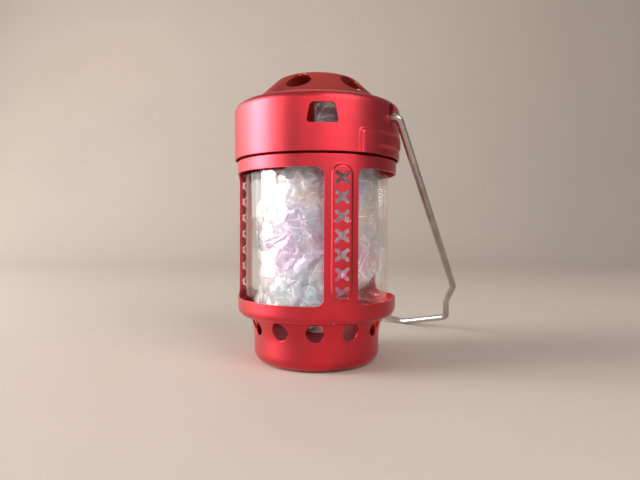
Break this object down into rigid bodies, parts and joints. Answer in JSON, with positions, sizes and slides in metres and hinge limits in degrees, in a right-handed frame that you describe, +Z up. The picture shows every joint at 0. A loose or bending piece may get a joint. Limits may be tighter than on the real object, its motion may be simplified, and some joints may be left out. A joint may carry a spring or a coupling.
{
  "type": "candle lantern",
  "caption": "Small red metal lantern with a glass chimney, bayonet cap, vented dome, folding wire bail and a crumpled film filling lit by a slim battery light.",
  "frame": {"origin": "centre of the base on the surface that the lantern stands on", "axes": "+Z up along the lantern's axis; -Y is the viewed side; +X is to the viewer's right"},
  "size_m": [0.082, 0.0944, 0.0926],
  "materials": {
    "red_metal": "satin red anodised",
    "dull_red_metal": "satin red anodised",
    "glass": "clear",
    "film": "iridescent film",
    "steel_wire": "satin",
    "red_plastic": "matte dark red",
    "cell_steel": "satin",
    "brass": "satin",
    "lamp_lens": "clear lens",
    "black_plastic": "matte"
  },
  "bodies": {
    "lantern": {"base_cup": "red_metal", "cage": "red_metal", "glass_chimney": "glass", "film_wad": "film", "light_case": "red_plastic", "light_base": "red_plastic", "battery_door": "red_plastic", "coin_cell": "cell_steel", "contact_plus": "brass", "contact_minus": "brass", "led": "lamp_lens"},
    "cap": {"cap_shell": "red_metal", "dome": "dull_red_metal"},
    "bail": {"bail": "steel_wire"},
    "switch": {"light_switch": "black_plastic"}
  },
  "joints": [
    {"name": "cap_twist", "type": "hinge", "parent": "lantern", "child": "cap", "pos_m": [0, 0, 0.07], "axis": [0, 0, 1], "range_deg": [0, 33]},
    {"name": "bail_swing", "type": "hinge", "parent": "cap", "child": "bail", "pos_m": [0, 0, 0.0763], "axis": [0.8339, -0.5519, 0], "continuous": true},
    {"name": "switch_slide", "type": "slide", "parent": "lantern", "child": "switch", "axis": [1, 0, 0], "range_m": [0, 0.002]}
  ]
}
